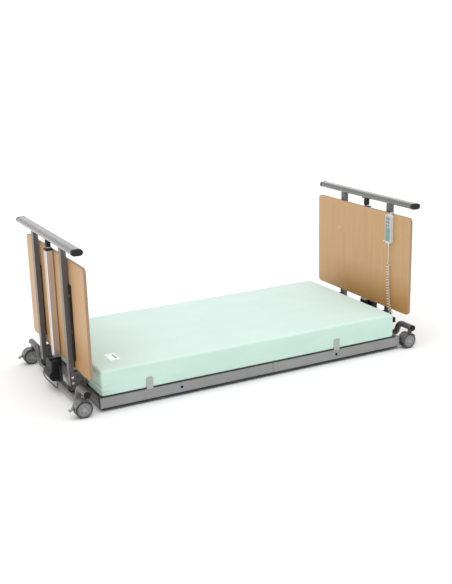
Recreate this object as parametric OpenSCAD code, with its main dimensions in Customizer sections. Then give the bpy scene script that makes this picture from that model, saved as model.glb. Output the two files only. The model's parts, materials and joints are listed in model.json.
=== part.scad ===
// Floor-level profiling care bed, at its lowest position.
// +X points to the head end, -Y is the patient's left side, +Z is up.
// The origin is on the floor, under the middle of the whole bed. Sizes are in millimetres.

/* [Mattress] */
// Mattress length
mattress_l = 2000; // [1900:10:2100]
// Mattress width
mattress_w = 1000; // [900:10:1050]
// Mattress thickness
mattress_t = 149; // [100:1:180]

/* [Platform] */
// Length of the platform frame
frame_l = 2060; // [2040:10:2160]
// Height of the grey side rail
rail_h = 60.5; // [50:0.5:64]
// Width of the side rail's tube
rail_t = 25; // [20:1:30]
// Wall of every steel tube
wall = 2; // [1.5:0.5:3]
// Radius of the accessory bores through the side rails
accessory_r = 8; // [4:0.5:9]

/* [End units] */
// Distance between the two end units' post centres
end_span = 2225; // [2200:5:2300]
// Distance of each post from the bed's centre line
post_y = 260; // [220:5:300]
// Height of the handrail's centre at the lowest position
handrail_z = 935; // [900:5:960]
// Length of a handrail with its caps
handrail_l = 1050; // [1000:2:1160]
// Width of the head and foot boards
board_w = 1054; // [900:2:1080]
// Height of the head and foot boards
board_h = 637; // [500:1:650]
// Thickness of the head and foot boards
board_t = 18; // [15:1:22]
// Travel of the height adjustment
lift = 550; // [300:10:550]

/* [Castors] */
// Wheel diameter
wheel_d = 100; // [90:5:105]
// Distance from the swivel axis to the wheel's axle
trail = 20; // [18:1:20]
// Distance of each swivel axis from the bed's centre line
castor_y = 500; // [480:5:510]

/* [Joints] */
// Position of the backrest hinge along the platform
back_hinge_x = 190; // [180:5:220]
// Position of the thigh hinge along the platform
thigh_hinge_x = -30; // [-40:5:-20]
// Length of the thigh section
thigh_l = 350; // [320:5:380]
// Largest backrest angle
back_angle = 65; // [50:1:70]
// Largest thigh angle
thigh_angle = 30; // [20:1:35]
// Length of the cranks that the actuators push
crank = 40; // [38:1:42]

/* [Handset] */
// Height of the handset
handset_h = 192; // [180:1:220]
// Width of the handset
handset_w = 58; // [46:1:60]
// Outer diameter of the curly part of its cord
curl_d = 25; // [20:1:26]
// Diameter of the cord itself
cord_d = 5; // [4:0.1:6]

/* [Hidden] */
$fn = 64;

gap = 0.3;                               // between parts that move past each other
fit = 0.05;                              // radial clearance of a running fit
wheel_r = wheel_d / 2;
pedal_reach = wheel_r + 32;              // from the axle to the pedal's tip
motor_x = 40;                            // from a post's centre line out to the lift motor's axis
motor_r = 32;
handrail_half = 33;                      // half the width of the oval handrail
handrail_r = 18;
left_extent = end_span / 2 + trail + pedal_reach;
right_extent = end_span / 2 + motor_x + motor_r;
mid_x = (left_extent - right_extent) / 2; // middle of the platform, measured from the origin
foot_x = mid_x - end_span / 2;
head_x = mid_x + end_span / 2;

// heights through the platform, from the floor up
rail_z = 24;
rail_top = rail_z + rail_h;
deck_z = rail_top + 0.5;
deck_t = 6;
sheet_t = 2;
deck_top = deck_z + deck_t;
bed_z = deck_top + 1;
hinge_z = deck_z - 5;
frame_half = frame_l / 2;
rail_y = mattress_w / 2;
deck_y = rail_y - 2;
knee_x = thigh_hinge_x - thigh_l;
mattress_foot = -mattress_l / 2 - 20;
mattress_head = mattress_l / 2 - 20;
deck_gap = 9;                            // from a hinge axis to the decks beside it
knuckle_r = 6;
knuckle_y = 300;

// end units
post_d = 30;
post_w = 40;
post_z = 100;
post_top = handrail_z - handrail_r;
strip_t = 8;
strip_low = 260;
strip_top = 700;
strip_side = 46;                         // from a post's centre line out to its strip's free edge
board_out = post_d / 2 + strip_t;        // from the post's centre to the board's outer face
board_in = board_out + board_t;
head_board_z = 226;
foot_board_z = 207;
tube_r = 19;
base_z = 50;
shoulder_z = 135;
bend_r = 50;
bend_angle = 65;
plug_y = 532;
shoulder_y = 423;
rise = (shoulder_z - base_z - 2 * bend_r * (1 - cos(bend_angle))) / sin(bend_angle);
bend_y = shoulder_y - 2 * bend_r * sin(bend_angle) - rise * cos(bend_angle);
column_w = post_w - 2 * wall - 2 * gap;  // the inner columns that the posts slide on
column_d = post_d - 2 * wall - 2 * gap;
column_top = post_z + 760;
drive_z = 125;
profile_z = 200;
profile_top = 845;
rod_r = 10;
rod_z = 215;
rod_top = 865;
spindle_r = 5;
spindle_top = 800;

// platform drives
crank_pin_r = 4;
drive_y = 120;
drive_axis_z = hinge_z - crank * (1 + cos(back_angle / 2)) / 2;
thigh_axis_z = hinge_z - crank * (1 + cos(thigh_angle / 2)) / 2;

// accessory bores, and mattress retainers
bore_x = [-530, 540];
back_retainer_x = 540;
calf_retainer_x = -730;

// handset, hung on the head board's inner face
board_face = head_x - board_in;
handset_t = 24;
handset_y = -325;
handset_z = 860 - handset_h;
key_y = [-10.5, 10.5];
key_z = [handset_h - 75, handset_h - 51, handset_h - 27];
key_w = 13.4;
key_h = 15.4;

// the lead's straight part, from the handset down to the curl
lead_x = board_face - 14;
LEAD = [[lead_x, -325, handset_z - 13], [lead_x, -325, 636], [lead_x, -325, 616],
        [lead_x, -325, 596], [lead_x, -325, 576], [lead_x, -325, 556]];
// the curly part's centre line, from the lead down and under the board to its socket
CURL = [[lead_x, -325, 556], [lead_x, -325, 500], [lead_x, -326, 440], [lead_x, -328, 380],
        [lead_x, -332, 320], [lead_x, -338, 280], [lead_x, -345, 250], [lead_x + 1, -352, 226],
        [lead_x + 6, -357, 208], [lead_x + 13, -360, 192], [lead_x + 19, -360, 170]];
// the lift motor's lead, a loop from the motor's end back to the gearbox
LOOP = [[40, -78, 90], [41, -96, 96], [43, -120, 99], [46, -138, 90], [47, -142, 73], [46, -130, 55],
        [44, -104, 44], [42, -68, 38], [41, -20, 36], [43, 32, 36], [49, 76, 42], [55, 100, 58],
        [56, 98, 80], [52, 80, 96], [45, 60, 102], [40, 45, 102]];

// ---- shapes that repeat ----

// A rectangle with round corners, centred.
module rounded(w, h, r) {
    square([w - 2 * r, h], center = true);
    square([w, h - 2 * r], center = true);
    for (x = [-1, 1], y = [-1, 1])
        translate([x * (w / 2 - r), y * (h / 2 - r)]) circle(r);
}

// A box given by its low and high corners.
module span(low, high) {
    translate(low) cube(high - low);
}

// A closed box tube along Z, centred on the axis, open at both ends.
module box_tube(w, d, h, t) {
    difference() {
        translate([-w / 2, -d / 2, 0]) cube([w, d, h]);
        translate([-w / 2 + t, -d / 2 + t, -1]) cube([w - 2 * t, d - 2 * t, h + 2]);
    }
}

// A cylinder along Y, centred on y.
module rod_y(r, l) {
    rotate([90, 0, 0]) cylinder(r = r, h = l, center = true);
}

// A cylinder along X, from the origin.
module rod_x(r, l) {
    rotate([0, 90, 0]) cylinder(r = r, h = l);
}

// An outline in the X-Z plane, given thickness along Y, centred.
module slab(t) {
    rotate([90, 0, 0]) linear_extrude(t, center = true) children();
}

// Puts a part drawn for the head end, with +X outward, at one of the two ends.
module at_end(side) {
    translate([side < 0 ? foot_x : head_x, 0, 0])
        mirror([side < 0 ? 1 : 0, 0, 0]) children();
}

module both_ends() {
    for (side = [-1, 1]) at_end(side) children();
}

module both_posts() {
    for (side = [-1, 1]) translate([0, side * post_y, 0]) children();
}

module platform() {
    translate([mid_x, 0, 0]) children();
}

// A point on a smooth curve through a list of points; t counts the points.
function clamp_index(i, n) = max(0, min(n - 1, i));
function smooth_point(p, t) =
    let (n = len(p), i = min(floor(t), n - 2), f = t - i,
         a = p[clamp_index(i - 1, n)], b = p[i], c = p[i + 1], d = p[clamp_index(i + 2, n)])
    b + f * (c - a) / 2
      + f * f * (2 * a - 5 * b + 4 * c - d) / 2
      + f * f * f * (3 * b - a - 3 * c + d) / 2;
function smooth_path(p, steps) =
    [for (k = [0 : (len(p) - 1) * steps]) smooth_point(p, k / steps)];
function unit(v) = v / norm(v);
function tangent(p, i) = unit(p[min(i + 1, len(p) - 1)] - p[max(i - 1, 0)]);

// A round tube swept along a path that never runs along the guide direction.
module sweep(path, r, sides, guide) {
    n = len(path);
    rings = [
        for (i = [0 : n - 1])
            let (t = tangent(path, i), u = unit(cross(guide, t)), v = cross(t, u))
            for (k = [0 : sides - 1])
                path[i] + r * (cos(360 * k / sides) * u + sin(360 * k / sides) * v)
    ];
    walls = [
        for (i = [0 : n - 2], k = [0 : sides - 1])
            let (a = i * sides + k, b = i * sides + (k + 1) % sides)
            each [[a, a + sides, b], [b, a + sides, b + sides]]
    ];
    polyhedron(
        points = rings,
        faces = concat(
            walls,
            [[for (k = [0 : sides - 1]) k]],
            [[for (k = [sides - 1 : -1 : 0]) (n - 1) * sides + k]]
        )
    );
}

// ---- floor bases ----

// The bent floor tube as a solid bar; its elbows are slightly fatter than its straight runs.
module swan_bar(r, y_end) {
    lap = 1;
    mid_y = bend_y + bend_r * sin(bend_angle);
    mid_z = base_z + bend_r * (1 - cos(bend_angle));
    translate([0, 0, base_z]) rod_y(r, 2 * (bend_y + lap));
    for (side = [0, 1]) mirror([0, side, 0]) {
        swan_bend(bend_y, base_z + bend_r, -90, r);
        translate([0, mid_y, mid_z]) rotate([bend_angle - 90, 0, 0])
            translate([0, 0, -lap]) cylinder(r = r, h = rise + 2 * lap);
        swan_bend(shoulder_y, shoulder_z - bend_r, 90, r);
        translate([0, shoulder_y - lap, shoulder_z]) rotate([-90, 0, 0])
            cylinder(r = r, h = y_end - shoulder_y + lap);
    }
}

// One bend in the Y-Z plane around the point (y, z), starting at an angle from +Y.
module swan_bend(y, z, start, r) {
    translate([0, y, z]) rotate([90, 0, 90]) rotate([0, 0, start])
        rotate_extrude(angle = bend_angle) translate([bend_r, 0]) circle(r + 0.4);
}

module base_frame() {
    ear_y = 36;
    difference() {
        union() {
            swan_bar(tube_r, plug_y - 6);
            for (side = [-1, 1])
                translate([0, side * castor_y, 110]) cylinder(r = 13, h = 20);
            both_posts() translate([-column_d / 2, -column_w / 2, base_z])
                cube([column_d, column_w, column_top - base_z]);
            for (side = [-1, 1])
                translate([-19, side * ear_y - 3, base_z]) cube([22, 6, drive_z + 20 - base_z]);
        }
        swan_bar(tube_r - wall, plug_y);
        for (side = [-1, 1])
            translate([0, side * castor_y, 100]) cylinder(r = 8 + fit, h = 28);
        both_posts() translate([-column_d / 2 + wall, -column_w / 2 + wall, base_z + tube_r])
            cube([column_d - 2 * wall, column_w - 2 * wall, column_top - base_z]);
        for (side = [-1, 1])
            translate([-8, side * ear_y, drive_z + 10]) rod_y(4, 10);
    }
}

module base_rubbers() {
    for (side = [-1, 1]) {
        translate([0, side * (plug_y - 3), shoulder_z]) rod_y(tube_r, 6);
        translate([0, side * post_y, base_z + tube_r + gap])
            linear_extrude(post_z - base_z - tube_r - 2 * gap) difference() {
                square([post_d + 8, post_w - 1], center = true);
                square([column_d + 2 * gap, column_w + 2 * gap], center = true);
            }
    }
}

module lift_column() {
    difference() {
        translate([0, 0, profile_z]) linear_extrude(profile_top - profile_z) difference() {
            rounded(40, 45, 3);
            circle(12);
            for (s = [-1, 1]) {
                translate([s * 20, 0]) square([5, 9], center = true);
                for (y = [-1, 1]) translate([y * 9, s * 22.5]) square([5, 4], center = true);
            }
        }
    }
}

// The gearbox, the motor lying across the bed beside it, and the column's top cap.
module lift_drive() {
    motor_z = 105;
    difference() {
        union() {
            translate([17, 0, drive_z]) linear_extrude(profile_z - drive_z)
                rounded(78, 64, 8);
            translate([32, -15, motor_z + 15]) linear_extrude(profile_z - motor_z - 21)
                rounded(47, 112, 10);
            translate([motor_x, -15, motor_z]) rod_y(motor_r, 120);
            translate([motor_x, -75, motor_z]) rod_y(24, 6);
        }
        translate([0, 0, profile_z - 14]) cylinder(r = spindle_r + fit, h = 20);
        for (side = [-1, 1])
            translate([-23, side * 36 - 4, drive_z]) cube([28, 8, 40]);
    }
    difference() {
        translate([0, 0, profile_top]) linear_extrude(12) rounded(44, 49, 5);
        translate([0, 0, profile_top - 1]) cylinder(r = rod_r + fit, h = 20);
    }
}

module lift_spindle() {
    translate([0, 0, profile_z - 13]) cylinder(r = spindle_r, h = spindle_top - profile_z + 13);
}

module foot_base_frame() { color("dimgray") at_end(-1) base_frame(); }
module head_base_frame() { color("dimgray") at_end(1) base_frame(); }
module foot_base_rubbers() { color("black") at_end(-1) base_rubbers(); }
module head_base_rubbers() { color("black") at_end(1) base_rubbers(); }
module foot_lift_column() { color("silver") at_end(-1) lift_column(); }
module head_lift_column() { color("silver") at_end(1) lift_column(); }
module foot_lift_drive() { color("black") at_end(-1) lift_drive(); }
module head_lift_drive() { color("black") at_end(1) lift_drive(); }
module foot_lift_cable() { color("black") at_end(-1) sweep(smooth_path(LOOP, 3), 3, 8, [1, 0, 0.1]); }
module head_lift_cable() { color("black") at_end(1) sweep(smooth_path(LOOP, 3), 3, 8, [1, 0, 0.1]); }
module foot_lift_spindle() { color("silver") at_end(-1) lift_spindle(); }
module head_lift_spindle() { color("silver") at_end(1) lift_spindle(); }

// ---- castors, each trailing towards the foot end ----

hub_half = 5.5;                          // half the web between the two wheels
wheel_half = 29;
hood_r = wheel_r + 3;
pedal_x = -(hood_r + 6);
pedal_z = wheel_r + 9;

module at_castor(end_x, side) {
    translate([end_x, side * castor_y, 0]) children();
}

// The hood over the wheels, its axle web and the stem in its socket, with lugs if it is braked.
module castor_hood(braked) {
    difference() {
        union() {
            translate([-trail, 0, wheel_r]) difference() {
                rod_y(hood_r, 2 * wheel_half + 2);
                for (s = [-1, 1])
                    translate([0, s * (hub_half + 15), 0]) rod_y(wheel_r + 1, 30);
                translate([-100, -50, -100]) cube([200, 100, 100]);
                rotate([0, -35, 0]) translate([0, -50, -100]) cube([100, 100, 100]);
            }
            translate([-trail, 0, wheel_r]) rod_y(14, 2 * hub_half);
            translate([0, 0, wheel_r + 34]) cylinder(r = 14, h = 24);
            translate([0, 0, wheel_r + 50]) cylinder(r = 8, h = 26);
            if (braked) {
                for (s = [-1, 1]) translate([-trail + pedal_x, s * 12, pedal_z]) {
                    rod_y(5, 5);
                    translate([0, -2.5, -5]) cube([12, 5, 10]);
                }
                translate([-trail + pedal_x, 0, pedal_z]) rod_y(2, 24);
            }
        }
        for (s = [-1, 1])
            translate([-trail, s * (hub_half + 15), wheel_r]) rod_y(wheel_r + 1, 30);
        translate([-trail, 0, wheel_r]) rod_y(5 + fit, 40);
    }
}

// Two wheels on one axle, with a raised hub and a ring groove on the outer faces.
module castor_wheels() {
    tyre_w = wheel_half - hub_half - 0.5;
    translate([-trail, 0, wheel_r]) {
        rod_y(5, 2 * wheel_half - 4);
        for (s = [-1, 1]) rotate([-90 * s, 0, 0]) translate([0, 0, hub_half + 0.5])
            rotate_extrude() difference() {
                polygon([
                    [0, 0], [wheel_r - 3, 0], [wheel_r, 3], [wheel_r, tyre_w - 5],
                    [wheel_r - 4, tyre_w - 1], [wheel_r - 9, tyre_w], [0, tyre_w]
                ]);
                translate([wheel_r - 14, tyre_w - 2]) square([3, 3]);
                translate([12, tyre_w - 1.5]) square([18, 3]);
            }
    }
}

module castor_pedal() {
    translate([-trail + pedal_x, 0, pedal_z]) difference() {
        union() {
            rod_y(5, 18.4);
            rotate([0, -22, 0]) translate([0, 0, -4]) linear_extrude(6) {
                translate([-10.5, 0]) square([17, 16.4], center = true);
                translate([-18, 0]) rounded(12, 30, 4);
            }
        }
        rod_y(2 + fit, 30);
    }
}

module foot_left_castor() { color("gray") at_castor(foot_x, -1) castor_hood(true); }
module foot_right_castor() { color("gray") at_castor(foot_x, 1) castor_hood(true); }
module head_left_castor() { color("gray") at_castor(head_x, -1) castor_hood(false); }
module head_right_castor() { color("gray") at_castor(head_x, 1) castor_hood(false); }
module foot_left_wheels() { color("dimgray") at_castor(foot_x, -1) castor_wheels(); }
module foot_right_wheels() { color("dimgray") at_castor(foot_x, 1) castor_wheels(); }
module head_left_wheels() { color("dimgray") at_castor(head_x, -1) castor_wheels(); }
module head_right_wheels() { color("dimgray") at_castor(head_x, 1) castor_wheels(); }
module foot_left_pedal() { color("gray") at_castor(foot_x, -1) castor_pedal(); }
module foot_right_pedal() { color("gray") at_castor(foot_x, 1) castor_pedal(); }

// ---- rising end frames ----

module posts() {
    color("dimgray") both_ends() both_posts() translate([0, 0, post_z])
        box_tube(post_d, post_w, post_top - post_z, wall);
}

module handrails() {
    color("silver") both_ends() translate([0, 0, handrail_z]) rotate([90, 0, 0])
        linear_extrude(handrail_l - 32, center = true) difference() {
            rounded(2 * handrail_half, 2 * handrail_r, handrail_r - 0.01);
            rounded(2 * handrail_half - 5, 2 * handrail_r - 5, handrail_r - 2.51);
        }
}

module handrail_caps() {
    color("black") both_ends() for (s = [-1, 1])
        translate([0, s * (handrail_l / 2 - 8), handrail_z]) rotate([90, 0, 0])
            linear_extrude(16, center = true)
                rounded(2 * handrail_half, 2 * handrail_r, handrail_r - 0.01);
}

module board(low_z) {
    translate([-board_in, 0, low_z + board_h / 2]) rotate([90, 0, 90])
        linear_extrude(board_t) rounded(board_w, board_h, 28);
}

module foot_board() { color("burlywood") at_end(-1) board(foot_board_z); }
module head_board() { color("burlywood") at_end(1) board(head_board_z); }

// Strips between the posts and the boards, standing out past each post's outer side.
module board_strips() {
    color("black") both_ends() for (side = [0, 1]) mirror([0, side, 0])
        span([-board_out, post_y - 18, strip_low], [-post_d / 2, post_y + strip_side, strip_top]);
}

// Bolts of the post brackets, and the screws that hold the boards.
module fasteners() {
    color("silver") both_ends() for (side = [-1, 1]) {
        for (p = [[0, 125], [0, 158], [-64, 58]])
            translate([p[0], side * (post_y + post_w / 2 + 6 + 2.5), p[1]])
                rotate([90, 30, 0]) cylinder(r = 8, h = 5, center = true, $fn = 6);
        for (z = [strip_low + 170, strip_top - 60])
            translate([-post_d / 2 + 1.5, side * (post_y + post_w / 2 + 14), z]) rotate([0, 90, 0])
                cylinder(r = 6, h = 3, center = true);
        for (z = [280, 673])
            translate([-board_in - 1.2, side * post_y, z]) rotate([0, 90, 0])
                cylinder(r = 5, h = 2.4, center = true);
    }
}

// Two welded plates on each post, which carry the platform's end rail.
module post_brackets() {
    end_u = -(end_span - frame_l) / 2;
    color("dimgray") both_ends() both_posts() for (s = [-1, 1])
        translate([0, s * (post_w / 2 + 3), 0]) slab(6) difference() {
            polygon([
                [15, 78], [15, 166], [2, 184], [-44, 184], [end_u, 118], [end_u, 28],
                [end_u + 24, 28], [-30, 46], [-26, 78]
            ]);
            for (p = [[-30, 158], [-52, 122], [-60, 92]]) translate(p) circle(5.5);
        }
}

module lift_rods() {
    color("silver") both_ends() difference() {
        translate([0, 0, rod_z]) cylinder(r = rod_r, h = rod_top - rod_z);
        translate([0, 0, rod_z - 1]) cylinder(r = spindle_r + fit, h = 40);
        translate([0, 0, rod_z + 25]) cylinder(r = 6.5, h = spindle_top + 10 - rod_z - 25);
    }
}

// The fork on each rod, its pin and the lug under the handrail.
module rod_clevises() {
    color("black") both_ends() {
        difference() {
            translate([-13, -14, rod_top]) cube([26, 28, 40]);
            translate([-14, -8, rod_top + 10]) cube([28, 16, 31]);
        }
        difference() {
            union() {
                span([-12, -7.5, rod_top + 12], [12, 7.5, post_top - 2]);
                span([-14, -38, post_top - 7], [14, 38, post_top]);
            }
            translate([0, 0, rod_top + 27]) rod_y(5, 20);
        }
        translate([0, 0, rod_top + 27]) rod_y(4.9, 15.8);
    }
}

// ---- platform ----

module rail_half(x0, x1, side) {
    y_mid = rail_y - rail_t / 2;
    translate([x0, side * y_mid, rail_z + rail_h / 2]) rotate([0, 90, 0])
        linear_extrude(x1 - x0) difference() {
            square([rail_h, rail_t], center = true);
            square([rail_h - 2 * wall, rail_t - 2 * wall], center = true);
        }
}

module side_rails() {
    seam_x = 80;
    seam_gap = 3;
    bore_z = rail_z + rail_h / 2;
    color("gray") platform() for (side = [-1, 1]) difference() {
        union() {
            rail_half(-frame_half, seam_x - seam_gap / 2, side);
            rail_half(seam_x + seam_gap / 2, frame_half, side);
            for (x = bore_x)
                translate([x, side * (rail_y - rail_t / 2), bore_z]) rod_y(accessory_r + 4, rail_t);
        }
        for (x = bore_x)
            translate([x, side * rail_y, bore_z]) rod_y(accessory_r, 2 * rail_t + 10);
    }
}

// The two end rails, the cross tubes under the decks, and the splices inside the rails' seams.
module cross_members() {
    inner_y = rail_y - rail_t;
    tube_h = 20;
    color("dimgray") platform() {
        for (s = [-1, 1])
            translate([s * (frame_half - 12.5), 0, rail_z + rail_h / 2]) rotate([90, 0, 0])
                linear_extrude(2 * inner_y, center = true) difference() {
                    square([25, rail_h], center = true);
                    square([25 - 2 * wall, rail_h - 2 * wall], center = true);
                }
        for (x = [-700, -245, 20, 140, 395, 620])
            translate([x, 0, rail_top - tube_h / 2]) rotate([90, 0, 0])
                linear_extrude(2 * inner_y, center = true) difference() {
                    square([30, tube_h], center = true);
                    square([30 - 2 * wall, tube_h - 2 * wall], center = true);
                }
        for (s = [-1, 1])
            translate([80, s * (rail_y - rail_t / 2), rail_z + rail_h / 2])
                cube([120, rail_t - 2 * wall - 0.6, rail_h - 2 * wall - 0.6], center = true);
    }
}

// Black strips under the side rails, and the caps on their ends.
module rail_trim() {
    color("black") platform() for (side = [-1, 1]) {
        translate([-frame_half + 10, side * (rail_y - rail_t / 2) - 9, rail_z - 9])
            cube([frame_l - 20, 18, 9]);
        for (s = [-1, 1])
            translate([s * (frame_half + 1), side * (rail_y - rail_t / 2), rail_z + rail_h / 2])
                cube([2, rail_t + 1, rail_h + 1], center = true);
    }
}

// One section of the lying surface: a slotted sheet on a folded rim.
module deck(x0, x1, rows) {
    l = x1 - x0;
    margin = 14;
    pitch_x = (l - 2 * margin) / rows;
    slot_l = 150;
    translate([(x0 + x1) / 2, 0, deck_z]) {
        translate([0, 0, deck_t - sheet_t]) linear_extrude(sheet_t) difference() {
            square([l, 2 * deck_y], center = true);
            for (i = [0 : rows - 1], j = [-2 : 2])
                translate([-l / 2 + margin + (i + 0.5) * pitch_x, j * 186])
                    rounded(42, slot_l, 14);
        }
        linear_extrude(deck_t - sheet_t) difference() {
            square([l, 2 * deck_y], center = true);
            square([l - 2 * margin, 2 * (deck_y - margin)], center = true);
        }
    }
}

// Hinge knuckles beside an axis; +1 puts the tab on the head side. Pins stay with one side.
module knuckles(x, towards, offset_y, with_pin) {
    for (s = [-1, 1]) translate([x, s * (knuckle_y + offset_y), hinge_z]) {
        difference() {
            union() {
                rod_y(knuckle_r, 15);
                translate([towards > 0 ? 0 : -deck_gap - 5, -7.5, -4]) cube([deck_gap + 5, 15, 9.5]);
            }
            if (!with_pin) rod_y(3 + fit, 20);
        }
        if (with_pin) translate([0, offset_y > 0 ? -8 : 8, 0]) rod_y(3, 31);
    }
}

// Cranks that stand below a hinge axis, each with the pin that its actuator pushes.
module crank_ears(x, y, lean, towards) {
    pin = [crank * sin(lean), -crank * cos(lean)];
    translate([x, y, hinge_z]) {
        for (s = [-1, 1]) translate([0, s * 7.5, 0]) slab(4) {
            polygon([[-5, 0], [5, 0], [pin[0] + 5, pin[1]], [pin[0] - 5, pin[1]]]);
            circle(6);
            translate(pin) circle(8);
            translate([towards > 0 ? 0 : -22, 0]) square([22, 5.5]);
        }
        translate([pin[0], 0, pin[1]]) rod_y(crank_pin_r, 18);
    }
}

// Plates at the mattress's sides that keep it on the deck.
module retainers(x) {
    for (side = [-1, 1]) {
        translate([x, side * (rail_y + 2.5), deck_z + 36]) rotate([90, 0, 0])
            linear_extrude(3, center = true) {
                rounded(40, 72, 6);
                translate([0, -18]) square([40, 36], center = true);
            }
        translate([x, side * (deck_y + 1.5), deck_z + deck_t / 2]) cube([40, 3, deck_t], center = true);
    }
}

module seat_deck() {
    color("dimgray") platform() {
        deck(thigh_hinge_x + deck_gap, back_hinge_x - deck_gap, 2);
        knuckles(back_hinge_x, -1, -7.8, true);
        knuckles(thigh_hinge_x, 1, -7.8, true);
    }
}

module backrest_deck() {
    color("dimgray") platform() {
        deck(back_hinge_x + deck_gap, frame_half - 30, 9);
        knuckles(back_hinge_x, 1, 7.8, false);
        crank_ears(back_hinge_x, drive_y, -back_angle / 2, 1);
    }
}

module thigh_deck() {
    color("dimgray") platform() {
        deck(knee_x + deck_gap, thigh_hinge_x - deck_gap, 4);
        knuckles(thigh_hinge_x, -1, 7.8, false);
        knuckles(knee_x, 1, -7.8, true);
        crank_ears(thigh_hinge_x, -drive_y, thigh_angle / 2, -1);
    }
}

module calf_deck() {
    color("dimgray") platform() {
        deck(-frame_half + 8, knee_x - deck_gap, 8);
        knuckles(knee_x, -1, 7.8, false);
    }
}

module backrest_retainers() { color("lightgray") platform() retainers(back_retainer_x); }
module calf_retainers() { color("lightgray") platform() retainers(calf_retainer_x); }

// The control box under the backrest, and the handset's socket on the head end's bracket.
module control_box() {
    color("black") {
        platform() difference() {
            translate([522.5, 0, 28]) linear_extrude(52) rounded(165, 220, 12);
            for (y = [-75 : 30 : 75]) translate([439, y, 54]) rod_x(8, 14);
        }
        translate([CURL[10][0], CURL[10][1] - 1, 140]) linear_extrude(30) rounded(30, 32, 5);
        span([CURL[10][0] - 4, CURL[10][1] + 10, 146], [CURL[10][0] + 4, -post_y - post_w / 2 - 6, 164]);
    }
}

// An actuator hanging from a cross tube, drawn with its rod towards +X and its eye at the origin.
module actuator_body(axis_z) {
    difference() {
        union() {
            translate([-430, -12, 19]) cube([30, 24, rail_top - 20 - axis_z - 19]);
            translate([-400, 0, 0]) rod_x(18, 350);
            translate([-445, -28, -17]) cube([60, 56, 37]);
            translate([-420, 40, 0]) rod_x(19, 150);
            translate([-420, 18, -10]) cube([24, 20, 20]);
        }
        translate([-380, 0, 0]) rod_x(8 + fit, 400);
    }
}

module actuator_rod(slot_half) {
    difference() {
        union() {
            translate([-360, 0, 0]) rod_x(8, 346);
            translate([-16, -4.5, -12]) cube([26, 9, 24]);
        }
        slab(20)
            square([2 * crank_pin_r + 1.8, 2 * (slot_half + crank_pin_r + gap)], center = true);
    }
}

back_pin_x = -crank * sin(back_angle / 2);
thigh_pin_x = crank * sin(thigh_angle / 2);
back_slot = crank * (1 - cos(back_angle / 2)) / 2;
thigh_slot = crank * (1 - cos(thigh_angle / 2)) / 2;

module at_back_drive() {
    platform() translate([back_hinge_x + back_pin_x, drive_y, drive_axis_z]) children();
}

module at_thigh_drive() {
    platform() translate([thigh_hinge_x + thigh_pin_x, -drive_y, thigh_axis_z]) mirror([1, 0, 0])
        children();
}

module backrest_actuator() { color("black") at_back_drive() actuator_body(drive_axis_z); }
module thigh_actuator() { color("black") at_thigh_drive() actuator_body(thigh_axis_z); }
module backrest_rod() { color("silver") at_back_drive() actuator_rod(back_slot); }
module thigh_rod() { color("silver") at_thigh_drive() actuator_rod(thigh_slot); }

// ---- mattress, in four pieces that part where the decks hinge ----

// One piece between two hinge lines; each lean is its end face's angle from upright.
module mattress_piece(x0, lean0, x1, lean1) {
    low = bed_z - hinge_z;
    high = low + mattress_t;
    platform() translate([0, 0, hinge_z]) slab(mattress_w)
        polygon([
            [x0 + low * tan(lean0) + 0.5, low], [x1 - low * tan(lean1) - 0.5, low],
            [x1 - high * tan(lean1) - 0.5, high], [x0 + high * tan(lean0) + 0.5, high]
        ]);
}

module mattress_back() {
    color("aquamarine") mattress_piece(back_hinge_x, back_angle / 2, mattress_head, 0);
}
module mattress_seat() {
    color("aquamarine")
        mattress_piece(thigh_hinge_x, thigh_angle / 2, back_hinge_x, back_angle / 2);
}
module mattress_thigh() {
    color("aquamarine") mattress_piece(knee_x, 0, thigh_hinge_x, thigh_angle / 2);
}
module mattress_calf() {
    color("aquamarine") mattress_piece(mattress_foot, 0, knee_x, 0);
}

// ---- handset ----

module at_handset() {
    translate([board_face - handset_t - 1, handset_y, handset_z]) children();
}

// An outline drawn in Y-Z, given depth along X from x = 0.
module plate_x(t) {
    rotate([90, 0, 90]) linear_extrude(t) children();
}

module key_windows(w, h) {
    for (y = key_y, z = key_z) translate([y, z]) square([w, h], center = true);
}

// The shell, its hanging hook over the board's edge and the relief that the cord leaves by.
module handset_shell() {
    color("whitesmoke") at_handset() difference() {
        union() {
            translate([1.6, 0, handset_h / 2]) plate_x(handset_t - 1.6)
                rounded(handset_w, handset_h, 16);
            span([handset_t - 4, -8, handset_h - 20], [handset_t + 0.4, 8, handset_h + 8]);
            span([handset_t - 4, -8, handset_h + 4], [handset_t + board_t + 5, 8, handset_h + 8]);
            span([handset_t + board_t + 1.6, -8, handset_h - 16],
                 [handset_t + board_t + 5, 8, handset_h + 8]);
            translate([11, 0, -13]) cylinder(r1 = 4, r2 = 7, h = 15);
        }
        translate([1, 0, 0]) plate_x(5.6) key_windows(key_w + 1, key_h + 1);
    }
}

module handset_panel() {
    color("lightseagreen") at_handset() translate([0, 0, 0]) plate_x(1.6) difference() {
        translate([0, handset_h / 2 + 4]) rounded(handset_w - 12, handset_h - 24, 10);
        key_windows(key_w + 0.6, key_h + 0.6);
    }
}

module key(column, row) {
    color("ghostwhite") at_handset() translate([-1.5, key_y[column], key_z[row]])
        plate_x(5) rounded(key_w, key_h, 3);
}

module key_back_up() { key(0, 2); }
module key_back_down() { key(1, 2); }
module key_legs_up() { key(0, 1); }
module key_legs_down() { key(1, 1); }
module key_bed_up() { key(0, 0); }
module key_bed_down() { key(1, 0); }

module handset_lead() {
    color("ivory") sweep(smooth_path(LEAD, 2), cord_d / 2, 8, [1, 0, 0]);
}

module handset_curl() {
    color("ivory") sweep(smooth_path(CURL, 3), curl_d / 2, 12, [1, 0.2, 0.3]);
}

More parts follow.
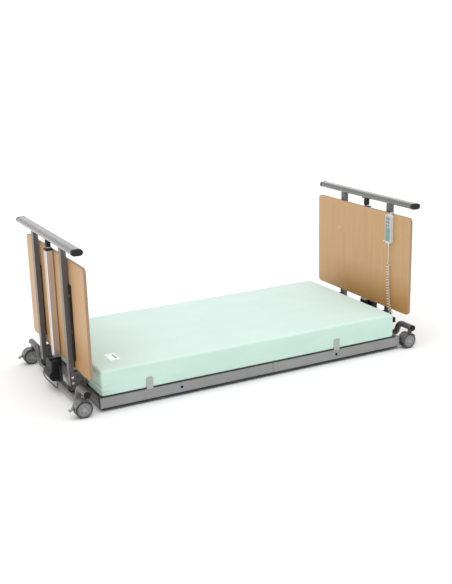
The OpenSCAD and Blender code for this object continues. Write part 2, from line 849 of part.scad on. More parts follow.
foot_base_frame();
foot_base_rubbers();
foot_lift_column();
foot_lift_drive();
foot_lift_cable();
foot_lift_spindle();
head_base_frame();
head_base_rubbers();
head_lift_column();
head_lift_drive();
head_lift_cable();
head_lift_spindle();
foot_left_castor();
foot_left_wheels();
foot_left_pedal();
foot_right_castor();
foot_right_wheels();
foot_right_pedal();
head_left_castor();
head_left_wheels();
head_right_castor();
head_right_wheels();
posts();
handrails();
handrail_caps();
foot_board();
head_board();
board_strips();
fasteners();
post_brackets();
lift_rods();
rod_clevises();
side_rails();
cross_members();
rail_trim();
seat_deck();
control_box();
backrest_actuator();
thigh_actuator();
backrest_rod();
thigh_rod();
backrest_deck();
backrest_retainers();
thigh_deck();
calf_deck();
calf_retainers();
mattress_back();
mattress_seat();
mattress_thigh();
mattress_calf();
handset_shell();
handset_panel();
handset_lead();
handset_curl();
key_back_up();
key_back_down();
key_legs_up();
key_legs_down();
key_bed_up();
key_bed_down();
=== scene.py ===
"""A floor-level profiling care bed on a white floor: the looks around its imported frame."""

import json
from math import cos, exp, floor, pi, radians, sin

import bpy
from mathutils import Matrix, Vector


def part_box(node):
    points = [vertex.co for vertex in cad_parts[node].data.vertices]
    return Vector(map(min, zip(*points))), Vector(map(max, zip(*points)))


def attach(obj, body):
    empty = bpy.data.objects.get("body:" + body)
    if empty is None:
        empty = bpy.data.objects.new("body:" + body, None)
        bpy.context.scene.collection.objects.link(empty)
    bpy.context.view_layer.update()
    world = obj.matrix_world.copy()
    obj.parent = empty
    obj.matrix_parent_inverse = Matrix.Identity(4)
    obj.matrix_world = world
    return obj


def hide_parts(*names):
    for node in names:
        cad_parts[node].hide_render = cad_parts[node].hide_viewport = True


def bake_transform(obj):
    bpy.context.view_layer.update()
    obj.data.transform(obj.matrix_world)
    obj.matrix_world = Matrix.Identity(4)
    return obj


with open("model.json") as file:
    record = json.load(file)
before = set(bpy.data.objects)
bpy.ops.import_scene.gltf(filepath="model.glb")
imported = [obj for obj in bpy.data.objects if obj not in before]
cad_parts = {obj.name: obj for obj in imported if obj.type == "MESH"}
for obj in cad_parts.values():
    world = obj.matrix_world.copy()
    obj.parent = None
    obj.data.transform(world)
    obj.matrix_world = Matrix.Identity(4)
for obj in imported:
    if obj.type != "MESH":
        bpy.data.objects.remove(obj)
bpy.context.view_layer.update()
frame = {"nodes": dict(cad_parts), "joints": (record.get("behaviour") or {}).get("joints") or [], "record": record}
nodes = frame["nodes"]
joints = {j["name"]: j for j in frame["joints"]}
hinge_back = joints["backrest_tilt"]["pos_m"][0]
hinge_thigh = joints["thigh_tilt"]["pos_m"][0]
hinge_knee = joints["knee_bend"]["pos_m"][0]

# ---- camera ----

LENS_MM, SENSOR_MM = 58.77, 36.0
YAW, PITCH, ROLL = radians(62.87), radians(-16.0), radians(-1.455)
CAMERA_FROM_HINGE = (-2.833, -5.213, 2.098)     # from the backrest's hinge line, at floor level
FAR_CLIP = 200


def add_camera():
    """The camera beyond the foot end's left corner, a little over two metres up."""
    forward = Vector((cos(PITCH) * cos(YAW), cos(PITCH) * sin(YAW), sin(PITCH)))
    right = forward.cross(Vector((0, 0, 1))).normalized()
    up = right.cross(forward)
    right_r = right * cos(ROLL) + up * sin(ROLL)
    up_r = -right * sin(ROLL) + up * cos(ROLL)
    camera = bpy.data.objects.new("camera", bpy.data.cameras.new("camera"))
    camera.data.sensor_width = SENSOR_MM
    camera.data.lens = LENS_MM
    camera.data.clip_end = FAR_CLIP
    axes = Matrix((right_r, up_r, -forward)).transposed().to_4x4()
    place = Vector((hinge_back, 0, 0)) + Vector(CAMERA_FROM_HINGE)
    camera.matrix_world = Matrix.Translation(place) @ axes
    bpy.context.collection.objects.link(camera)
    bpy.context.scene.camera = camera


add_camera()

# ---- helpers for meshes ----


def link_mesh(name, verts, faces, smooth=True):
    """A new object with the given mesh, in the scene."""
    mesh = bpy.data.meshes.new(name)
    mesh.from_pydata([tuple(v) for v in verts], [], faces)
    mesh.update()
    mesh.validate()
    for polygon in mesh.polygons:
        polygon.use_smooth = smooth
    piece = bpy.data.objects.new(name, mesh)
    bpy.context.collection.objects.link(piece)
    return piece


def eased_edges(piece, width):
    """Bevels the piece's sharp edges and writes the bevel into its mesh."""
    modifier = piece.modifiers.new("bevel", "BEVEL")
    modifier.width = width
    modifier.segments = 2
    modifier.limit_method = "ANGLE"
    modifier.angle_limit = radians(40)
    modifier.harden_normals = True
    depsgraph = bpy.context.evaluated_depsgraph_get()
    done = bpy.data.meshes.new_from_object(piece.evaluated_get(depsgraph))
    piece.modifiers.clear()
    piece.data = done
    return piece


def rounded_outline(width, height, radius):
    """Points round a rectangle with round corners, centred, anticlockwise."""
    steps = 6
    points = []
    for sx, sy, start in ((1, 1, 0), (-1, 1, 90), (-1, -1, 180), (1, -1, 270)):
        cx, cy = sx * (width / 2 - radius), sy * (height / 2 - radius)
        for k in range(steps + 1):
            a = radians(start + 90 * k / steps)
            points.append((cx + radius * cos(a), cy + radius * sin(a)))
    return points


# ---- helpers for materials ----

MATTRESS_LOW, MATTRESS_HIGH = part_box("mattress_calf")[0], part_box("mattress_back")[1]
WHEEL_TREAD_R = 0.0410                   # where the disc of a wheel meets its tread
WHEEL_GROOVE_R = 0.0380
WHEEL_WINDOW_R = 0.0225
WHEEL_CAP_R = 0.0115
BORES = sorted({(mount["pos_m"][0], mount["pos_m"][2])
                for mount in frame["record"]["mounts"] if mount["kind"] == "bore"})
BORE_R = 0.008


class Shader:
    """A material with one Principled shader and the few node patterns that the bed needs."""

    def __init__(self, name, roughness=0.5, metallic=0.0, specular=0.5, **more):
        self.material = bpy.data.materials.new(name)
        self.material.use_nodes = True
        self.tree = self.material.node_tree
        self.tree.nodes.clear()
        self.out = self.tree.nodes.new("ShaderNodeOutputMaterial")
        self.bsdf = self.tree.nodes.new("ShaderNodeBsdfPrincipled")
        self.link(self.bsdf.outputs[0], self.out.inputs[0])
        self.bsdf.inputs["Roughness"].default_value = roughness
        self.bsdf.inputs["Metallic"].default_value = metallic
        self.bsdf.inputs["Specular IOR Level"].default_value = specular
        for key, value in more.items():
            self.bsdf.inputs[key.replace("_", " ")].default_value = value
        self.coords = self.tree.nodes.new("ShaderNodeTexCoord").outputs["Object"]

    def link(self, a, b):
        self.tree.links.new(a, b)

    def stretched(self, scale):
        """The object's coordinates, each axis times its own scale."""
        node = self.tree.nodes.new("ShaderNodeMapping")
        self.link(self.coords, node.inputs["Vector"])
        node.inputs["Scale"].default_value = scale
        return node.outputs[0]

    def noise(self, scale, detail=4.0, roughness=0.55, vector=None):
        node = self.tree.nodes.new("ShaderNodeTexNoise")
        self.link(vector or self.coords, node.inputs["Vector"])
        node.inputs["Scale"].default_value = scale
        node.inputs["Detail"].default_value = detail
        node.inputs["Roughness"].default_value = roughness
        return node.outputs[0]

    def remap(self, value, low, high, to_low, to_high):
        node = self.tree.nodes.new("ShaderNodeMapRange")
        self.link(value, node.inputs["Value"])
        node.inputs["From Min"].default_value = low
        node.inputs["From Max"].default_value = high
        node.inputs["To Min"].default_value = to_low
        node.inputs["To Max"].default_value = to_high
        return node.outputs[0]

    def share(self, value, low, high):
        """0 where the value is low, 1 where it is high, and even between them."""
        return self.remap(value, low, high, 0, 1)

    def drift(self, scale, detail):
        """Noise stretched to run from 0 to 1."""
        return self.share(self.noise(scale, detail), 0.35, 0.65)

    def math(self, operation, a, b=None):
        node = self.tree.nodes.new("ShaderNodeMath")
        node.operation = operation
        for socket, value in zip(node.inputs, (a, b)):
            if value is None:
                continue
            if isinstance(value, (int, float)):
                socket.default_value = value
            else:
                self.link(value, socket)
        return node.outputs[0]

    def mix(self, factor, a, b):
        """A mix of two colours, each given as a tuple or a socket."""
        node = self.tree.nodes.new("ShaderNodeMix")
        node.data_type = "RGBA"
        self.link(factor, node.inputs[0])
        for index, value in ((6, a), (7, b)):
            if isinstance(value, tuple):
                node.inputs[index].default_value = (*value, 1)
            else:
                self.link(value, node.inputs[index])
        return node.outputs[2]

    def off(self, value, middle):
        """How far the value is from the middle."""
        return self.math("ABSOLUTE", self.math("SUBTRACT", value, middle))

    def distance(self, dx, dz):
        squares = self.math("ADD", self.math("MULTIPLY", dx, dx), self.math("MULTIPLY", dz, dz))
        return self.math("SQRT", squares)

    def axis(self, name):
        node = self.tree.nodes.new("ShaderNodeSeparateXYZ")
        self.link(self.coords, node.inputs[0])
        return node.outputs[name]

    def normal_axis(self, name):
        """One part of the surface's direction, in the object's own axes."""
        geometry = self.tree.nodes.new("ShaderNodeNewGeometry")
        turned = self.tree.nodes.new("ShaderNodeVectorTransform")
        turned.vector_type = "NORMAL"
        turned.convert_from = "WORLD"
        turned.convert_to = "OBJECT"
        self.link(geometry.outputs["Normal"], turned.inputs[0])
        node = self.tree.nodes.new("ShaderNodeSeparateXYZ")
        self.link(turned.outputs[0], node.inputs[0])
        return node.outputs[name]

    def colour(self, socket):
        self.link(socket, self.bsdf.inputs["Base Color"])

    def rough(self, value, low, high, start=0.3, stop=0.7):
        self.link(self.remap(value, start, stop, low, high), self.bsdf.inputs["Roughness"])

    def bump(self, heights):
        """Bumps from (height socket, strength, distance in metres), one on another."""
        last = None
        for height, strength, distance in heights:
            node = self.tree.nodes.new("ShaderNodeBump")
            node.inputs["Strength"].default_value = strength
            node.inputs["Distance"].default_value = distance
            self.link(height, node.inputs["Height"])
            if last:
                self.link(last, node.inputs["Normal"])
            last = node.outputs[0]
        self.link(last, self.bsdf.inputs["Normal"])


def shade(colour, factor):
    """The colour, darker or lighter."""
    return tuple(min(1.0, c * factor) for c in colour)


def coat_colour(s, colour):
    """The colour, drifting slowly by 6 % either way."""
    return s.mix(s.drift(5.0, 3), shade(colour, 0.94), shade(colour, 1.06))


def peel(s, grain=900):
    """Fine orange peel on slower waves."""
    s.bump([(s.noise(grain, 2), 0.12, 0.0002), (s.noise(60, 3), 0.05, 0.0004)])


def painted(name, colour, roughness, metallic=0.0, grain=900, **more):
    """Powder coat or moulded plastic: faint colour drift, fine orange peel and uneven gloss."""
    s = Shader(name, roughness=roughness, metallic=metallic, **more)
    s.colour(coat_colour(s, colour))
    s.rough(s.noise(22, 5), roughness - 0.05, roughness + 0.07)
    peel(s, grain)
    return s.material


def brushed(name, colour, roughness):
    """Bare metal with fine upright lines."""
    s = Shader(name, roughness=roughness, metallic=1.0)
    lines = s.noise(1.0, 4, 0.6, s.stretched((700, 700, 4)))
    s.colour(s.mix(s.share(lines, 0.3, 0.7), shade(colour, 0.9), shade(colour, 1.06)))
    s.rough(lines, roughness - 0.06, roughness + 0.1)
    s.bump([(lines, 0.15, 0.0001)])
    return s.material


def wood(name):
    """Beech-look laminate with a long upright grain and darker edges; painted shade turns the faces a deeper,
    yellower brown low down, fading out towards the far edge.
    """
    s = Shader(name, roughness=0.42, specular=0.4, Coat_Weight=0.12, Coat_Roughness=0.3)
    figure = s.noise(1.0, 5, 0.6, s.stretched((9, 26, 1.3)))
    fibre = s.noise(1.0, 6, 0.65, s.stretched((60, 420, 9)))
    light, mid, dark = (0.582, 0.353, 0.167), (0.550, 0.323, 0.146), (0.449, 0.249, 0.101)
    painted_shade_brown = (0.405, 0.196, 0.048)
    broad = s.mix(s.share(figure, 0.38, 0.62), light, mid)
    # painted shade: low down the faces turn a deeper brown, fading out towards the far (+Y) edge
    low_down = s.remap(s.axis("Z"), 0.48, 0.30, 0, 0.85)
    painted_shade_near_side = s.share(s.axis("Y"), 0.48, 0.15)
    broad = s.mix(s.math("MULTIPLY", low_down, painted_shade_near_side), broad, painted_shade_brown)
    face = s.mix(s.remap(fibre, 0.50, 0.75, 0, 0.38), broad, dark)
    on_face = s.share(s.math("ABSOLUTE", s.normal_axis("X")), 0.55, 0.75)
    fleck = s.share(s.noise(240, 3), 0.4, 0.6)
    edge = s.mix(fleck, (0.29, 0.195, 0.125), (0.36, 0.25, 0.165))
    s.colour(s.mix(on_face, edge, face))
    s.rough(fibre, 0.36, 0.5)
    s.bump([(fibre, 0.06, 0.0003)])
    return s.material


def mattress_cover(name):
    """Coated knit in mint green with painted sheen that makes the upper faces paler and greyer than the sides: a
    fine weave, ripples, and creases at the foot.
    """
    s = Shader(name, roughness=0.62, specular=0.35, Sheen_Weight=0.15, Sheen_Roughness=0.5)
    weave = s.math("ADD", s.noise(1.0, 2, 0.5, s.stretched((2200, 500, 1200))),
                   s.noise(1.0, 2, 0.5, s.stretched((500, 2200, 1200))))
    ripple = s.noise(1.0, 4, 0.5, s.stretched((4, 7, 12)))
    slack = s.noise(1.0, 5, 0.6, s.stretched((3, 5, 48)))
    near_foot = s.share(s.axis("X"), MATTRESS_LOW.x + 0.09, MATTRESS_LOW.x)
    low_down = s.share(s.axis("Z"), MATTRESS_LOW.z + 0.09, MATTRESS_LOW.z + 0.02)
    crease = s.math("MULTIPLY", slack, s.math("MULTIPLY", near_foot, low_down))
    # painted sheen: faces that look up get a paler, greyer mint than the sides, standing in for the sky's
    # reflection
    level = s.share(s.normal_axis("Z"), 0.2, 0.95)
    drift = s.share(ripple, 0.35, 0.65)
    painted_sheen_upper = s.mix(drift, (0.585, 0.742, 0.700), (0.61, 0.765, 0.724))
    side = s.mix(drift, (0.525, 0.715, 0.640), (0.560, 0.748, 0.675))
    s.colour(s.mix(level, side, painted_sheen_upper))
    s.rough(s.noise(9, 4), 0.54, 0.7)
    s.bump([(ripple, 0.2, 0.004), (crease, 1.0, 0.035), (weave, 0.35, 0.00035)])
    return s.material


def rail_finish(name, colour):
    """The side rails' grey coat, in shadow inside the accessory bores."""
    s = Shader(name, roughness=0.42, metallic=0.25)
    inside = None
    for x, z in BORES:
        dx, dz = s.math("SUBTRACT", s.axis("X"), x), s.math("SUBTRACT", s.axis("Z"), z)
        near = s.remap(s.distance(dx, dz), BORE_R + 0.0002, BORE_R + 0.0009, 1, 0)
        inside = s.math("MAXIMUM", inside, near) if inside else near
    s.colour(s.mix(inside, coat_colour(s, colour), (0.006, 0.006, 0.006)))
    s.rough(inside, 0.42, 0.9, 0, 1)
    peel(s)
    return s.material


def wheel_shader(name, centre):
    """Dark tread round a moulded grey disc, with a pale cap and five shallow windows; painted shade darkens the
    windows and a thin ring just inside the tread.
    """
    s = Shader(name, roughness=0.4)
    dx = s.math("SUBTRACT", s.axis("X"), centre.x)
    dz = s.math("SUBTRACT", s.axis("Z"), centre.z)
    radius = s.distance(dx, dz)
    turn = s.math("COSINE", s.math("MULTIPLY", s.math("ARCTAN2", dz, dx), 5.0))
    tread = s.share(radius, WHEEL_TREAD_R, WHEEL_TREAD_R + 0.0007)
    # painted shade: a thin near-black ring just inside the tread, darker than the rubber
    groove_painted_shade = s.share(s.off(radius, WHEEL_GROOVE_R), 0.0018, 0.0008)
    cap = s.share(radius, WHEEL_CAP_R + 0.0008, WHEEL_CAP_R)
    ring = s.share(s.off(radius, WHEEL_WINDOW_R), 0.0070, 0.0062)
    window_recess_and_shade = s.math("MULTIPLY", ring, s.share(turn, -0.1, 0.15))
    disc = s.mix(s.drift(14, 3), (0.215, 0.216, 0.217), (0.25, 0.251, 0.252))
    rubber = s.mix(s.drift(40, 4), (0.024, 0.0245, 0.026), (0.040, 0.041, 0.042))
    # painted shade: the recessed windows are a darker grey than the disc
    look = s.mix(window_recess_and_shade, disc, (0.175, 0.175, 0.176))
    look = s.mix(cap, look, (0.30, 0.30, 0.297))
    look = s.mix(groove_painted_shade, look, (0.022, 0.022, 0.023))
    s.colour(s.mix(tread, look, rubber))
    s.rough(tread, 0.34, 0.6, 0, 1)
    s.bump([(window_recess_and_shade, -0.2, 0.001), (s.noise(600, 2), 0.15, 0.0002)])
    return s.material


def panel_shader(name, split_z):
    """The handset's front film: pale round the keys and grey-teal below them."""
    s = Shader(name, roughness=0.35)
    drift = s.drift(40, 3)
    pale = s.mix(drift, (0.44, 0.49, 0.485), (0.50, 0.545, 0.54))
    teal = s.mix(drift, (0.185, 0.30, 0.29), (0.22, 0.34, 0.33))
    above = s.share(s.axis("Z"), split_z - 0.0005, split_z + 0.0005)
    s.colour(s.mix(above, teal, pale))
    s.bump([(s.noise(700, 2), 0.1, 0.0002)])
    return s.material


M = {
    "frame_steel": painted("frame_steel", (0.104, 0.098, 0.095), 0.34, 0.2, Coat_Weight=0.25),
    "rail_steel": rail_finish("rail_steel", (0.265, 0.27, 0.272)),
    "handrail_metal": painted("handrail_metal", (0.125, 0.125, 0.123), 0.24, 0.15,
                              Coat_Weight=0.8, Coat_Roughness=0.12),
    "castor_grey": painted("castor_grey", (0.115, 0.116, 0.115), 0.30, 0.2, Coat_Weight=0.4),
    "pedal_plastic": painted("pedal_plastic", (0.25, 0.252, 0.252), 0.45),
    "black_plastic": painted("black_plastic", (0.010, 0.010, 0.011), 0.46, specular=0.3),
    "black_rubber": painted("black_rubber", (0.008, 0.008, 0.008), 0.7, grain=500, specular=0.25),
    "column_aluminium": brushed("column_aluminium", (0.74, 0.70, 0.68), 0.34),
    "bright_steel": brushed("bright_steel", (0.72, 0.72, 0.73), 0.2),
    "board_wood": wood("board_wood"),
    "deck_steel": painted("deck_steel", (0.030, 0.031, 0.033), 0.5),
    "retainer_plastic": painted("retainer_plastic", (0.37, 0.40, 0.39), 0.4),
    "mattress_fabric": mattress_cover("mattress_fabric"),
    "handset_plastic": painted("handset_plastic", (0.62, 0.65, 0.62), 0.4),
    "panel_film": panel_shader("panel_film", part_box("key_bed_up")[0].z - 0.006),
    "key_film": painted("key_film", (0.22, 0.27, 0.275), 0.42),
    "cord_plastic": painted("cord_plastic", (0.74, 0.70, 0.60), 0.32),
}

slots = {part["node"]: part["material_slot"] for part in frame["record"]["subparts"]}
for node, piece in nodes.items():
    piece.data.materials.clear()
    if slots[node] == "wheel_plastic":
        low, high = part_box(node)
        piece.data.materials.append(wheel_shader(node + "_finish", (low + high) / 2))
    else:
        piece.data.materials.append(M[slots[node]])

# ---- boards, with eased edges ----


BOARD_CORNER_R, BOARD_EDGE = 0.028, 0.0022


def add_board(node):
    """An upright board across the bed, with round corners and eased edges."""
    low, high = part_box(node)
    centre, size = (low + high) / 2, high - low
    outline = rounded_outline(size.y, size.z, BOARD_CORNER_R)
    n = len(outline)
    verts = [centre + Vector((side * size.x / 2, u, v)) for side in (-1, 1) for u, v in outline]
    faces = [tuple(range(n))[::-1], tuple(range(n, 2 * n))]
    faces += [(k, (k + 1) % n, n + (k + 1) % n, n + k) for k in range(n)]
    piece = eased_edges(link_mesh(node + "_panel", verts, faces, smooth=False), BOARD_EDGE)
    for polygon in piece.data.polygons:
        large = polygon.area >= 0.2 * size.y * size.z
        polygon.use_smooth = not large and len(polygon.vertices) == 4
    piece.data.materials.append(M["board_wood"])
    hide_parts(node)
    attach(piece, "bed_frame")


add_board("head_board")
add_board("foot_board")

# ---- handset cord: a straight lead, then a curl that ends in its socket ----

CORD_D = 0.005
CURL_R = 0.010                           # of the curl's centre line
CURL_PITCH = 0.018
PER_TURN = 16                            # points on a turn
EASE_TURNS = 2                           # over which the curl grows from the straight cord
LEAD_STEP = 0.005
lead_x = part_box("head_board")[0].x - 0.014
lead_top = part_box("handset_lead")[1].z
LEAD = [(lead_x, -0.325, z) for z in (lead_top, 0.636, 0.616, 0.596, 0.576, 0.556)]
CURL = [
    (lead_x, -0.325, 0.556), (lead_x, -0.325, 0.500), (lead_x, -0.326, 0.440),
    (lead_x, -0.328, 0.380), (lead_x, -0.332, 0.320), (lead_x, -0.338, 0.280),
    (lead_x, -0.345, 0.250), (lead_x + 0.001, -0.352, 0.226), (lead_x + 0.006, -0.357, 0.208),
    (lead_x + 0.013, -0.360, 0.192), (lead_x + 0.019, -0.360, 0.170),
]


def smooth_point(points, t):
    """A point on a smooth curve through the points; t counts them."""
    i = min(int(floor(t)), len(points) - 2)
    f = t - i
    a, b, c, d = (Vector(points[max(0, min(len(points) - 1, k))]) for k in range(i - 1, i + 3))
    square, cube = 2 * a - 5 * b + 4 * c - d, 3 * b - a - 3 * c + d
    return b + f * (c - a) / 2 + f * f * square / 2 + f ** 3 * cube / 2


def even_path(points, step):
    """Points along the smooth curve, a step apart."""
    parts = 2000
    fine = [smooth_point(points, (len(points) - 1) * k / parts) for k in range(parts + 1)]
    out, gone, last = [fine[0]], 0.0, fine[0]
    for p in fine[1:]:
        gone += (p - last).length
        last = p
        if gone >= step:
            out.append(p)
            gone -= step
    out.append(fine[-1])
    return out


def eased(share):
    """A smooth rise from 0 to 1."""
    share = max(0.0, min(1.0, share))
    return share * share * (3 - 2 * share)


def cord_points():
    """The lead's line, then a helix whose end turns are wider apart, so that no bend is tight."""
    line = even_path(CURL, CURL_PITCH / PER_TURN)
    points = even_path(LEAD, LEAD_STEP)[:-1]
    n = len(line)
    side = Vector((1, 0, 0))
    a = 0.0
    for i, p in enumerate(line):
        along = (line[min(i + 1, n - 1)] - line[max(i - 1, 0)]).normalized()
        u = (side - along * side.dot(along)).normalized()
        v = along.cross(u)
        share = min(i, n - 1 - i) / (EASE_TURNS * PER_TURN)
        points.append(p + CURL_R * eased(share) * (cos(a) * u + sin(a) * v))
        a += pi / PER_TURN * (1 + eased((share - 0.7) / 0.3))
    return points


def add_cord():
    """The cord as a round tube along its points."""
    points = cord_points()
    curve = bpy.data.curves.new("handset_cord", "CURVE")
    curve.dimensions = "3D"
    curve.bevel_depth = CORD_D / 2
    curve.bevel_resolution = 3
    curve.use_fill_caps = True
    spline = curve.splines.new("POLY")
    spline.points.add(len(points) - 1)
    for point, p in zip(spline.points, points):
        point.co = (*p, 1)
    spline.use_smooth = True
    piece = bpy.data.objects.new("handset_cord", curve)
    bpy.context.collection.objects.link(piece)
    curve.materials.append(M["cord_plastic"])
    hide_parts("handset_lead", "handset_curl")
    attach(piece, "bed_frame")


add_cord()

# ---- mattress ----

HALF_W = MATTRESS_HIGH.y
SIDE_IN = 0.002                          # how far the sides stand in, to leave room for their swell
END_R, TOP_R, LOW_R = 0.014, 0.014, 0.010
CORNER_STEP = 15                         # degrees between the points of a round corner
SLICE = 0.014                            # length of mattress between two rings
SIDE_SWELL, CROWN, FACE_BULGE = 0.0028, 0.0035, 0.0035
RING_ACROSS, RING_UP = 48, 28            # points on the level and the upright stretches of a ring
FACE_RINGS, EDGE_RINGS = 16, 8           # rings over half an end face, and round its edge
FOLD_PITCH, FOLD_DEPTH = 0.030, 0.0095
FOLD_REACH, FOLD_HEIGHT = 0.055, 0.120
BACK_BEND, THIGH_BEND, KNEE_BEND = 0.136, 0.066, 0.090      # reach of each bend from its hinge
BACK_ARCH, THIGH_ARCH = 0.014, 0.004     # how far the underside is hollowed over two of them
LAP, LAP_IN = 0.012, 0.0006              # how far each part runs on inside its neighbour


def soft_wave(x, y):
    """A slow, uneven swell of the cover, in metres."""
    return 0.0011 * (sin(4.1 * x + 1.3) * cos(6.3 * y + 0.4) + 0.6 * sin(9.7 * x - 2.0 * y + 0.9))


def arch(x, y):
    """How far the underside is hollowed over a hinge, so that a bent mattress clears the deck."""
    rise = 0.0
    hollows = ((hinge_back, BACK_BEND, BACK_ARCH), (hinge_thigh, THIGH_BEND, THIGH_ARCH))
    for hinge, reach, height in hollows:
        away = min(1.0, abs(x - hinge) / reach)
        rise += height * (1 - away * away) ** 2 * min(1.0, away * 4 + 0.35)
    return rise * max(0.0, min(1.0, (HALF_W - 0.016 - abs(y)) / 0.05))


def crown(y):
    """How far the filling lifts the cover across the width."""
    return CROWN * (1 - (y / HALF_W) ** 4)


def fold(x, y, z):
    """How far the slack cover folds in, in level pleats low down near the foot end."""
    near_foot = exp(-((x - MATTRESS_LOW.x) / FOLD_REACH) ** 2)
    low_down = max(0.0, 1 - (z - MATTRESS_LOW.z) / FOLD_HEIGHT)
    pleat = 0.5 + 0.5 * sin(2 * pi * (z - MATTRESS_LOW.z) / FOLD_PITCH + 3.5 * y + 8 * x)
    return FOLD_DEPTH * near_foot * low_down * pleat ** 4


def ring_outline(half, low, high):
    """Points round an upright rectangle with round corners, as (y, z)."""
    corners = [(half - TOP_R, high - TOP_R, TOP_R, 0), (-half + TOP_R, high - TOP_R, TOP_R, 90),
               (-half + LOW_R, low + LOW_R, LOW_R, 180), (half - LOW_R, low + LOW_R, LOW_R, 270)]
    outline = []
    for k, (cy, cz, r, start) in enumerate(corners):
        for turn in range(0, 91, CORNER_STEP):
            a = radians(start + turn)
            outline.append((cy + r * cos(a), cz + r * sin(a)))
        ny, nz, nr, nstart = corners[(k + 1) % 4]
        ay, az = outline[-1]
        by, bz = ny + nr * cos(radians(nstart)), nz + nr * sin(radians(nstart))
        count = RING_ACROSS if k in (0, 2) else RING_UP
        outline += [(ay + (by - ay) * j / count, az + (bz - az) * j / count)
                    for j in range(1, count)]
    return outline


def ring_at(x, inset, grow=1.0, face=0.0):
    """A cross-section of the mattress at x: a rectangle with round corners, its sides swelled.

    On an end face, face is 1 and the folds go in along X instead of across the bed.
    """
    low, high = MATTRESS_LOW.z + 0.6 * min(inset, 0.5 * LOW_R), MATTRESS_HIGH.z - inset
    mid_z = (low + high) / 2
    out = []
    for y, z in ring_outline(HALF_W - SIDE_IN - inset, low, high):
        lift = (z - low) / (high - low)
        at_top = max(0.0, (lift - 0.85) / 0.15)
        at_side = (abs(y) / HALF_W) ** 12
        at_base = max(0.0, 1 - 8 * lift)
        level = mid_z + (z - mid_z) * grow
        depth = fold(x, y * grow, level)
        wave = soft_wave(x, y) * at_top + 0.4 * soft_wave(x, 3 * z) * at_side
        swell = SIDE_SWELL * (1 - (2 * lift - 1) ** 2) * at_side
        outward = swell - (1 - face) * depth * at_side + 0.5 * wave
        upward = (crown(y) * at_top + wave) * grow + arch(x, y) * at_base
        out.append(Vector((x + face * depth, y * grow + (outward if y > 0 else -outward),
                           level + upward)))
    return out


def end_rings(x, direction):
    """Rings from the middle of an end face at x out to its edge, and round it."""
    rings = []
    for k in range(1, FACE_RINGS):
        grow = k / FACE_RINGS
        bulge = FACE_BULGE * (1 - grow ** 4)
        rings.append(ring_at(x - direction * bulge, END_R, grow, 1.0))
    for k in range(EDGE_RINGS):
        a = radians(90 * k / EDGE_RINGS)
        rings.append(ring_at(x + direction * END_R * (1 - cos(a)), END_R * (1 - sin(a)),
                             face=cos(a)))
    return rings


def mattress_part(name, x0, x1, round0, round1):
    """A closed length of mattress between two planes; a round end is the mattress's own end."""
    steps = int((x1 - x0) / SLICE)
    start = x0 + END_R if round0 else x0
    stop = x1 - END_R if round1 else x1
    rings = end_rings(x0, 1) if round0 else [ring_at(x0 - LAP, LAP_IN)]
    rings += [ring_at(start + (stop - start) * k / steps, 0.0) for k in range(steps + 1)]
    rings += end_rings(x1, -1)[::-1] if round1 else [ring_at(x1 + LAP, LAP_IN)]
    n = len(rings[0])
    verts = [v for ring in rings for v in ring]
    faces = [
        (i * n + k, i * n + (k + 1) % n, (i + 1) * n + (k + 1) % n, (i + 1) * n + k)
        for i in range(len(rings) - 1) for k in range(n)
    ]
    faces += [tuple(range(n))[::-1], tuple((len(rings) - 1) * n + k for k in range(n))]
    piece = link_mesh(name, verts, faces)
    for polygon in piece.data.polygons[-2:]:       # the two end caps
        polygon.use_smooth = False
    piece.data.materials.append(M["mattress_fabric"])
    return piece


cut_seat = hinge_back - BACK_BEND - 0.006          # just clear of the backrest's bend
cut_thigh = (hinge_thigh + hinge_knee) / 2


def add_mattress(piece, nodes_replaced):
    """Lets a part of the mattress stand for its nodes, and bakes its place into its mesh."""
    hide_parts(*nodes_replaced)
    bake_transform(piece)


add_mattress(mattress_part("mattress_upper", cut_seat, MATTRESS_HIGH.x, False, True),
             ("mattress_back", "mattress_seat"))
add_mattress(mattress_part("mattress_middle", cut_thigh, cut_seat, False, False),
             ("mattress_thigh",))
add_mattress(mattress_part("mattress_lower", MATTRESS_LOW.x, cut_thigh, True, False),
             ("mattress_calf",))

# ---- a blank care label near the foot end ----

LABEL_X, LABEL_Y = MATTRESS_LOW.x + 0.145, -0.305
LABEL_W, LABEL_L, LABEL_T = 0.060, 0.115, 0.0009
BAR_X, BAR_W, BAR_L = LABEL_X + 0.012, 0.0085, 0.0695      # the plain bar printed on it


def label_cloth():
    """Blue-white woven cloth with one dark bar."""
    s = Shader("label_cloth", roughness=0.7, specular=0.3)
    cloth = s.mix(s.drift(30, 3), (0.90, 0.94, 0.985), (0.94, 0.97, 1.0))
    in_width = s.share(s.off(s.axis("X"), BAR_X), BAR_W / 2 + 0.00025, BAR_W / 2 - 0.00025)
    in_length = s.share(s.off(s.axis("Y"), LABEL_Y), BAR_L / 2 + 0.00025, BAR_L / 2 - 0.00025)
    s.colour(s.mix(s.math("MULTIPLY", in_width, in_length), cloth, (0.10, 0.16, 0.24)))
    s.bump([(s.noise(1.0, 2, 0.5, s.stretched((1800, 600, 600))), 0.3, 0.0003)])
    return s.material


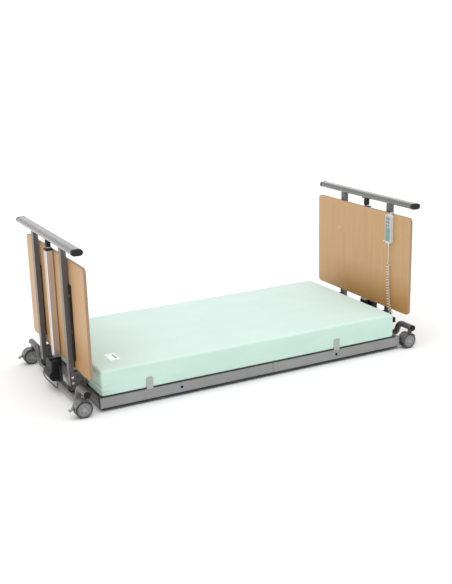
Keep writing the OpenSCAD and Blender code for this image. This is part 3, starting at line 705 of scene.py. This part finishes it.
def add_label():
    """A thin woven patch that follows the cover under it."""
    nx, ny = 6, 16
    verts = []
    for lift in (-LABEL_T / 2, LABEL_T):
        for i in range(nx + 1):
            for j in range(ny + 1):
                x = LABEL_X + LABEL_W * (i / nx - 0.5)
                y = LABEL_Y + LABEL_L * (j / ny - 0.5)
                verts.append((x, y, MATTRESS_HIGH.z + crown(y) + soft_wave(x, y) + lift))
    row, layer = ny + 1, (nx + 1) * (ny + 1)
    faces = []
    for i in range(nx):
        for j in range(ny):
            a = i * row + j
            quad = (a, a + row, a + row + 1, a + 1)
            faces += [quad[::-1], tuple(k + layer for k in quad)]
    rim = list(range(ny)) + [i * row + ny for i in range(nx)]
    rim += [nx * row + ny - j for j in range(ny)] + [(nx - i) * row for i in range(nx)]
    faces += [(a, a + layer, b + layer, b) for a, b in zip(rim, rim[1:] + rim[:1])]
    piece = link_mesh("care_label", verts, faces, smooth=False)
    piece.data.materials.append(label_cloth())
    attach(piece, "calf")


add_label()

# ---- floor and light ----


def add_floor():
    """A pale floor, large enough to reach the horizon."""
    size = 400
    corners = [(-size, -size, 0), (size, -size, 0), (size, size, 0), (-size, size, 0)]
    piece = link_mesh("floor", corners, [(0, 1, 2, 3)], smooth=False)
    s = Shader("floor_white", roughness=0.85, specular=0.1)
    s.colour(s.mix(s.noise(1.5, 3), (0.905, 0.905, 0.905), (0.925, 0.925, 0.925)))
    piece.data.materials.append(s.material)


def add_world():
    """White all round at the horizon and softer overhead, where the sun gives the rest."""
    world = bpy.data.worlds.new("studio")
    world.use_nodes = True
    tree = world.node_tree
    coords = tree.nodes.new("ShaderNodeTexCoord")
    split = tree.nodes.new("ShaderNodeSeparateXYZ")
    height = tree.nodes.new("ShaderNodeMapRange")
    height.inputs["From Min"].default_value = 0.10
    height.inputs["From Max"].default_value = 0.45
    height.inputs["To Min"].default_value = 1.04
    height.inputs["To Max"].default_value = 0.80
    tree.links.new(coords.outputs["Generated"], split.inputs[0])
    tree.links.new(split.outputs["Z"], height.inputs["Value"])
    tree.links.new(height.outputs[0], tree.nodes["Background"].inputs["Strength"])
    tree.nodes["Background"].inputs["Color"].default_value = (1, 1, 1, 1)
    bpy.context.scene.world = world


SUN_TOWARDS, SUN_STRENGTH, SUN_ANGLE = (0.15, 0.16, -1.0), 1.43, radians(65)


def add_sun():
    """One broad, distant lamp, almost overhead."""
    light = bpy.data.lights.new("key_sun", "SUN")
    light.energy = SUN_STRENGTH
    light.angle = SUN_ANGLE
    lamp = bpy.data.objects.new("key_sun", light)
    lamp.rotation_euler = Vector(SUN_TOWARDS).to_track_quat("-Z", "Y").to_euler()
    bpy.context.collection.objects.link(lamp)


add_floor()
add_world()
add_sun()
bpy.context.scene.view_settings.view_transform = "Standard"
